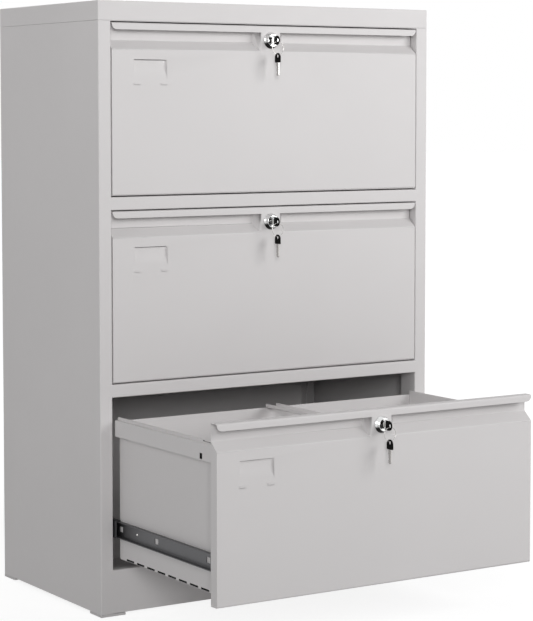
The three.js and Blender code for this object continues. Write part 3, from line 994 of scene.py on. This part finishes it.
class CABINET_OT_plate_slides(Operator):
    """Ease and plate the slide members"""

    bl_idname = "cabinet.plate_slides"
    bl_label = "Plate slides"

    def execute(self, context):
        width = context.scene.cabinet_edges.slide
        zinc = zinc_of(context)
        for level in LEVELS:
            for side in SIDES:
                for member in SLIDE_MEMBERS:
                    dressed_sheet(f"{level}_{side}_{member}_slide", width, zinc, "slide_zinc")
                self.head_rivet(context, f"{level}_{side}")
        return {"FINISHED"}

    def head_rivet(self, context, place):
        """The domed head that the inner slide is riveted on with, seen on the slide's web."""
        details = context.scene.cabinet_details
        node = f"{place}_inner_slide"
        low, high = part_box(node)
        outward = math.copysign(1.0, low.x)
        web = min(abs(low.x), abs(high.x)) + details.slide_wall
        middle = Vector((outward * web, low.y + details.rivet_setback, (low.z + high.z) / 2))
        flat = details.rivet_radius / 2
        profile = [
            (0.0, -details.rivet_proud),
            (flat, -0.85 * details.rivet_proud),
            (details.rivet_radius, 0.0),
            (details.rivet_radius, details.slide_wall / 2),
            (0.0, details.slide_wall / 2),
        ]
        turn = Matrix.Rotation(outward * math.pi / 2, 4, "Z")
        bm = turned(profile, context.scene.cabinet_locks.spin_steps // 2, Matrix.Translation(middle) @ turn)
        finished(f"{place}_slide_rivet", bm, [steel_of(context)], BODY_OF_NODE[node], "slide_zinc")


# Locks and keys

class CABINET_OT_turn_locks(Operator):
    """Turn the lock bezels and plate the plugs"""

    bl_idname = "cabinet.turn_locks"
    bl_label = "Turn locks"

    def execute(self, context):
        locks = context.scene.cabinet_locks
        chrome = chrome_of(context)
        bare_and_shade = bare_steel_and_shade_of(context)
        for level in LEVELS:
            self.turn_bezel(level, locks, chrome, bare_and_shade)
            node = f"{level}_lock_plug"
            bm = merged_copy(node)
            eased(bm, sharp_edges(bm), context.scene.cabinet_edges.slide, 2)
            # Painted reflection shade: the plug's sides go fully dark, its face stays bright.
            self.mark_reflection_shade(bm, 1.0, 0.0)
            finished(f"{node}_finish", bm, [chrome], BODY_OF_NODE[node], "chrome", node)
        return {"FINISHED"}

    def turn_bezel(self, level, locks, chrome, bare_and_shade):
        node = f"{level}_lock_housing"
        low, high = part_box(node)
        radius = (high.x - low.x) / 2
        seat = locks.bezel_depth
        profile = [
            (locks.bore_radius, locks.groove_depth),
            (locks.groove_radius, locks.groove_depth),
            (locks.groove_radius, 0.0),
            (locks.face_radius, 0.0),
            (radius - locks.rim, seat - 2 * locks.rim),
            (radius, seat - locks.rim),
            (radius, seat),
            (locks.barrel_radius, seat),
            (locks.barrel_radius, high.y - low.y),
            (locks.bore_radius, high.y - low.y),
        ]
        place = Vector(((low.x + high.x) / 2, low.y, (low.z + high.z) / 2))
        bm = turned(profile, locks.spin_steps, Matrix.Translation(place))
        eased(bm, sharp_edges(bm), locks.turned_edge, 3)
        # Painted reflection shade: the bezel's flank darkens a little, and fully where it faces the floor.
        self.mark_reflection_shade(bm, 0.15, 1.1)
        # Painted shade: the groove's walls turn near-black.
        self.groove_bare_and_shade(bm, place, locks)
        finished(f"{level}_lock_bezel", bm, [chrome, bare_and_shade], BODY_OF_NODE[node], "chrome", node)


    def mark_reflection_shade(self, bm, level_shade, down_shade):
        """Mask of the painted reflection shade: how far each spot turns away from the front, to any side and more so
        towards the floor.
        """
        bm.normal_update()
        layer = bm.verts.layers.float.new(REFLECTION_SHADE)
        for vert in bm.verts:
            down = min(1.0, max(0.0, (-vert.normal.z - 0.1) / 0.25))
            vert[layer] = math.hypot(vert.normal.x, vert.normal.z) * (level_shade + down_shade * down)

    def groove_bare_and_shade(self, bm, place, locks):
        """Plating does not reach the walls of the groove and the bore, which take the near-black material as painted
        shade in the deep groove.
        """
        for face in bm.faces:
            spot = face.calc_center_median() - place
            inside = math.hypot(spot.x, spot.z) < locks.groove_radius + MERGE_DISTANCE
            if inside and abs(face.normal.y) < 0.5:
                face.material_index = 1


class CABINET_OT_make_keys(Operator):
    """Mould the key heads, cut the blades and bend the rings"""

    bl_idname = "cabinet.make_keys"
    bl_label = "Make keys"

    def execute(self, context):
        for level in LEVELS:
            low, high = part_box(f"{level}_key")
            middle = (low + high) / 2
            lying = Matrix(((0, 0, 1, middle.x), (1, 0, 0, low.y), (0, 1, 0, middle.z), (0, 0, 0, 1)))
            self.make_key(context, f"{level}_key", high.y - low.y, high.z - low.z, high.x - low.x, lying)
            low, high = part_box(f"{level}_spare_key")
            middle = (low + high) / 2
            hanging = Matrix(((0, 0, 1, middle.x), (0, 1, 0, middle.y), (-1, 0, 0, high.z), (0, 0, 0, 1)))
            self.make_key(context, f"{level}_spare_key", high.z - low.z, high.y - low.y, high.x - low.x, hanging)
            self.bend_ring(context, f"{level}_key_ring")
        return {"FINISHED"}

    def make_key(self, context, node, length, width, thickness, place):
        """A key along local X from its round end, with its width along local Y."""
        locks = context.scene.cabinet_locks
        body = BODY_OF_NODE[node]
        head = self.key_head(locks, width, thickness)
        bmesh.ops.transform(head, matrix=place, verts=head.verts)
        finished(f"{node}_head", head, [key_plastic_of(context)], body, "key_black", node)
        blade = self.key_blade(locks, length)
        bmesh.ops.transform(blade, matrix=place, verts=blade.verts)
        finished(f"{node}_blade", blade, [steel_of(context)], body, "ring_steel")

    def key_head(self, locks, width, thickness):
        """Round end, straight sides, two small corners and a round hole, drawn as two loops and bridged."""
        bm = bmesh.new()
        half = width / 2
        corner = locks.head_corner
        steps = locks.spin_steps // 4
        arcs = [
            (half, 0.0, half, math.pi / 2, 3 * math.pi / 2, 2 * steps),
            (locks.head_length - corner, corner - half, corner, 3 * math.pi / 2, 2 * math.pi, steps),
            (locks.head_length - corner, half - corner, corner, 0.0, math.pi / 2, steps),
        ]
        rim = []
        for x, y, radius, start, end, count in arcs:
            for step in range(count + 1):
                angle = start + (end - start) * step / count
                rim.append(bm.verts.new((x + radius * math.cos(angle), y + radius * math.sin(angle), -thickness / 2)))
        hole = []
        for vert in rim:
            away = Vector((vert.co.x - locks.hole_setback, vert.co.y))
            spot = away.normalized() * locks.hole_radius
            hole.append(bm.verts.new((spot.x + locks.hole_setback, spot.y, -thickness / 2)))
        loops = []
        for ring in (rim, hole):
            loops += [bm.edges.new((start, end)) for start, end in zip(ring, ring[1:] + ring[:1])]
        bmesh.ops.bridge_loops(bm, edges=loops)
        drawn = bmesh.ops.extrude_face_region(bm, geom=bm.faces[:], use_keep_orig=True)
        top = [item for item in drawn["geom"] if isinstance(item, bmesh.types.BMVert)]
        bmesh.ops.translate(bm, verts=top, vec=(0.0, 0.0, thickness))
        bmesh.ops.recalc_face_normals(bm, faces=bm.faces)
        eased(bm, sharp_edges(bm), locks.head_edge, 3)
        return bm

    def key_blade(self, locks, length):
        """A flat blade with a row of cuts along one edge and a pointed tip."""
        bm = bmesh.new()
        half = locks.blade_width / 2
        start = locks.head_length - 2 * MM
        cut_from = locks.head_length + 8 * MM
        pitch = (length - 3 * MM - cut_from) / locks.blade_cuts
        outline = [(start, -half), (length - 2 * MM, -half), (length, -half / 3), (length - 1 * MM, half * 0.5)]
        for index in reversed(range(locks.blade_cuts)):
            depth = locks.cut_depth * (0.45 + 0.55 * abs(math.sin(1.9 * (index + 1))))
            middle = cut_from + (index + 0.5) * pitch
            outline.append((middle + pitch * 0.45, half - locks.cut_depth * 0.15))
            outline.append((middle + pitch * 0.12, half - depth))
            outline.append((middle - pitch * 0.12, half - depth))
        outline += [(cut_from, half), (start, half)]
        verts = [bm.verts.new((x, y, -locks.blade_sheet / 2)) for x, y in outline]
        face = bm.faces.new(verts)
        drawn = bmesh.ops.extrude_face_region(bm, geom=[face], use_keep_orig=True)
        top = [item for item in drawn["geom"] if isinstance(item, bmesh.types.BMVert)]
        bmesh.ops.translate(bm, verts=top, vec=(0.0, 0.0, locks.blade_sheet))
        bmesh.ops.recalc_face_normals(bm, faces=bm.faces)
        eased(bm, sharp_edges(bm), 0.2 * MM, 2)
        return bm

    def bend_ring(self, context, node):
        """A ring of round wire that stands in the X-Z plane."""
        locks = context.scene.cabinet_locks
        low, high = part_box(node)
        wire = (high.y - low.y) / 2
        radius = (high.x - low.x) / 2 - wire
        sides = locks.wire_sides
        angles = [2 * math.pi * side / sides for side in range(sides)]
        profile = [(radius + wire * math.cos(angle), wire * math.sin(angle)) for angle in angles]
        bm = turned(profile, locks.spin_steps, Matrix.Translation((low + high) / 2))
        finished(f"{node}_wire", bm, [steel_of(context)], BODY_OF_NODE[node], "ring_steel", node)


# Stage

class CABINET_OT_set_stage(Operator):
    """Set the floor, the lights, the white surroundings and the camera"""

    bl_idname = "cabinet.set_stage"
    bl_label = "Set stage"

    def execute(self, context):
        stage = context.scene.cabinet_stage
        self.lay_floor(stage)
        self.set_world(context, stage)
        self.set_lamp("key_light", stage.key_place, stage.key_size, stage.key_power, stage.light_aim)
        self.set_lamp("top_light", stage.top_place, stage.top_size, stage.top_power, stage.light_aim)
        side = self.set_lamp("side_light", stage.side_place, stage.side_size, stage.side_power, stage.far_aim)
        front = self.set_lamp("front_light", stage.front_place, stage.front_size, stage.front_power, stage.far_aim)
        for far_light in (side, front):
            far_light.spread = stage.far_spread
        self.set_camera(context, stage)
        context.scene.view_settings.view_transform = "Standard"
        return {"FINISHED"}

    def lay_floor(self, stage):
        bm = bmesh.new()
        bmesh.ops.create_grid(bm, x_segments=4, y_segments=4, size=stage.floor_half)
        mesh = bpy.data.meshes.new("floor")
        bm.to_mesh(mesh)
        bm.free()
        mesh.materials.append(self.floor_material(stage))
        floor = bpy.data.objects.new("floor", mesh)
        bpy.context.scene.collection.objects.link(floor)

    def floor_material(self, stage):
        """A pale floor that shows white where it is lit and a little darker in the object's shadow."""
        material = bpy.data.materials.new("pale_floor")
        material.use_nodes = True
        nodes = material.node_tree.nodes
        links = material.node_tree.links
        nodes.clear()
        lighting, glow = self.lit_and_glowing(nodes, links, stage.floor_colour)
        glow.default_value = stage.floor_glow
        showing, white = self.lit_and_glowing(nodes, links, stage.floor_shade)
        links.new(self.whiter_with_distance(nodes, links, stage), white)
        mix = nodes.new("ShaderNodeMixShader")
        links.new(self.seen_directly(nodes, links), mix.inputs["Fac"])
        links.new(lighting, mix.inputs[1])
        links.new(showing, mix.inputs[2])
        output = nodes.new("ShaderNodeOutputMaterial")
        links.new(mix.outputs["Shader"], output.inputs["Surface"])
        return material

    def whiter_with_distance(self, nodes, links, stage):
        """The floor's own white, from a little under white at the object to pure white far off."""
        place = nodes.new("ShaderNodeTexCoord")
        distance = nodes.new("ShaderNodeVectorMath")
        distance.operation = "LENGTH"
        links.new(place.outputs["Object"], distance.inputs[0])
        spread = nodes.new("ShaderNodeMapRange")
        spread.interpolation_type = "SMOOTHSTEP"
        spread.inputs["From Min"].default_value = stage.floor_near
        spread.inputs["From Max"].default_value = stage.floor_far
        spread.inputs["To Min"].default_value = stage.floor_white
        spread.inputs["To Max"].default_value = 1.0
        links.new(distance.outputs["Value"], spread.inputs["Value"])
        return spread.outputs["Result"]

    def lit_and_glowing(self, nodes, links, colour):
        """A grey that is lit by the lamps, with a glow on top, and the socket of the glow's strength."""
        grey = nodes.new("ShaderNodeBsdfDiffuse")
        grey.inputs["Color"].default_value = (colour, colour, colour, 1.0)
        light = nodes.new("ShaderNodeEmission")
        both = nodes.new("ShaderNodeAddShader")
        links.new(grey.outputs["BSDF"], both.inputs[0])
        links.new(light.outputs["Emission"], both.inputs[1])
        return both.outputs["Shader"], light.inputs["Strength"]

    def seen_directly(self, nodes, links):
        """1 for camera, glossy and transmission rays."""
        path = nodes.new("ShaderNodeLightPath")
        both = nodes.new("ShaderNodeMath")
        both.operation = "MAXIMUM"
        links.new(path.outputs["Is Camera Ray"], both.inputs[0])
        links.new(path.outputs["Is Glossy Ray"], both.inputs[1])
        every = nodes.new("ShaderNodeMath")
        every.operation = "MAXIMUM"
        links.new(both.outputs["Value"], every.inputs[0])
        links.new(path.outputs["Is Transmission Ray"], every.inputs[1])
        return every.outputs["Value"]

    def set_world(self, context, stage):
        world = bpy.data.worlds.new("white_room")
        world.use_nodes = True
        nodes = world.node_tree.nodes
        links = world.node_tree.links
        nodes.clear()
        light = nodes.new("ShaderNodeBackground")
        light.inputs["Strength"].default_value = stage.ambient
        white = nodes.new("ShaderNodeBackground")
        white.inputs["Color"].default_value = (1.0, 1.0, 1.0, 1.0)
        light.inputs["Color"].default_value = (1.0, 1.0, 1.0, 1.0)
        mix = nodes.new("ShaderNodeMixShader")
        links.new(self.seen_directly(nodes, links), mix.inputs["Fac"])
        links.new(light.outputs["Background"], mix.inputs[1])
        links.new(white.outputs["Background"], mix.inputs[2])
        output = nodes.new("ShaderNodeOutputWorld")
        links.new(mix.outputs["Shader"], output.inputs["Surface"])
        context.scene.world = world

    def set_lamp(self, name, place, size, power, aim):
        light = bpy.data.lights.new(name, "AREA")
        light.shape = "SQUARE"
        light.size = size
        light.energy = power
        lamp = bpy.data.objects.new(name, light)
        bpy.context.scene.collection.objects.link(lamp)
        lamp.location = place
        facing = Vector(aim) - Vector(place)
        lamp.rotation_euler = facing.to_track_quat("-Z", "Y").to_euler()
        return light

    def set_camera(self, context, stage):
        data = bpy.data.cameras.new("photo_camera")
        data.lens = stage.lens
        data.shift_y = stage.shift
        camera = bpy.data.objects.new("photo_camera", data)
        bpy.context.scene.collection.objects.link(camera)
        camera.location = stage.camera_place
        camera.rotation_euler = (math.pi / 2 - stage.camera_pitch, 0.0, -stage.camera_yaw)
        context.scene.camera = camera


OPERATORS = (
    CABINET_OT_paint_carcass,
    CABINET_OT_mould_feet,
    CABINET_OT_paint_drawers,
    CABINET_OT_plate_slides,
    CABINET_OT_turn_locks,
    CABINET_OT_make_keys,
    CABINET_OT_set_stage,
)
SETTINGS = {
    "cabinet_finishes": CabinetFinishes,
    "cabinet_edges": CabinetEdges,
    "cabinet_details": CabinetDetails,
    "cabinet_locks": CabinetLocks,
    "cabinet_stage": CabinetStage,
}


class CABINET_PT_sidebar(Panel):
    """Lists the cabinet's operators and settings"""

    bl_idname = "CABINET_PT_sidebar"
    bl_label = "Lateral filing cabinet"
    bl_space_type = "VIEW_3D"
    bl_region_type = "UI"
    bl_category = "Cabinet"

    def draw(self, context):
        for operator in OPERATORS:
            self.layout.operator(operator.bl_idname)
        for name, group in SETTINGS.items():
            box = self.layout.box()
            for setting in group.__annotations__:
                box.prop(getattr(context.scene, name), setting)


def register():
    for cls in (*SETTINGS.values(), *OPERATORS, CABINET_PT_sidebar):
        bpy.utils.register_class(cls)
    for name, group in SETTINGS.items():
        setattr(bpy.types.Scene, name, PointerProperty(type=group))


def unregister():
    for name in SETTINGS:
        delattr(bpy.types.Scene, name)
    for cls in reversed((*SETTINGS.values(), *OPERATORS, CABINET_PT_sidebar)):
        bpy.utils.unregister_class(cls)


def main():
    register()
    bpy.ops.cabinet.paint_carcass()
    bpy.ops.cabinet.mould_feet()
    bpy.ops.cabinet.paint_drawers()
    bpy.ops.cabinet.plate_slides()
    bpy.ops.cabinet.turn_locks()
    bpy.ops.cabinet.make_keys()
    bpy.ops.cabinet.set_stage()


if __name__ == "__main__":
    main()
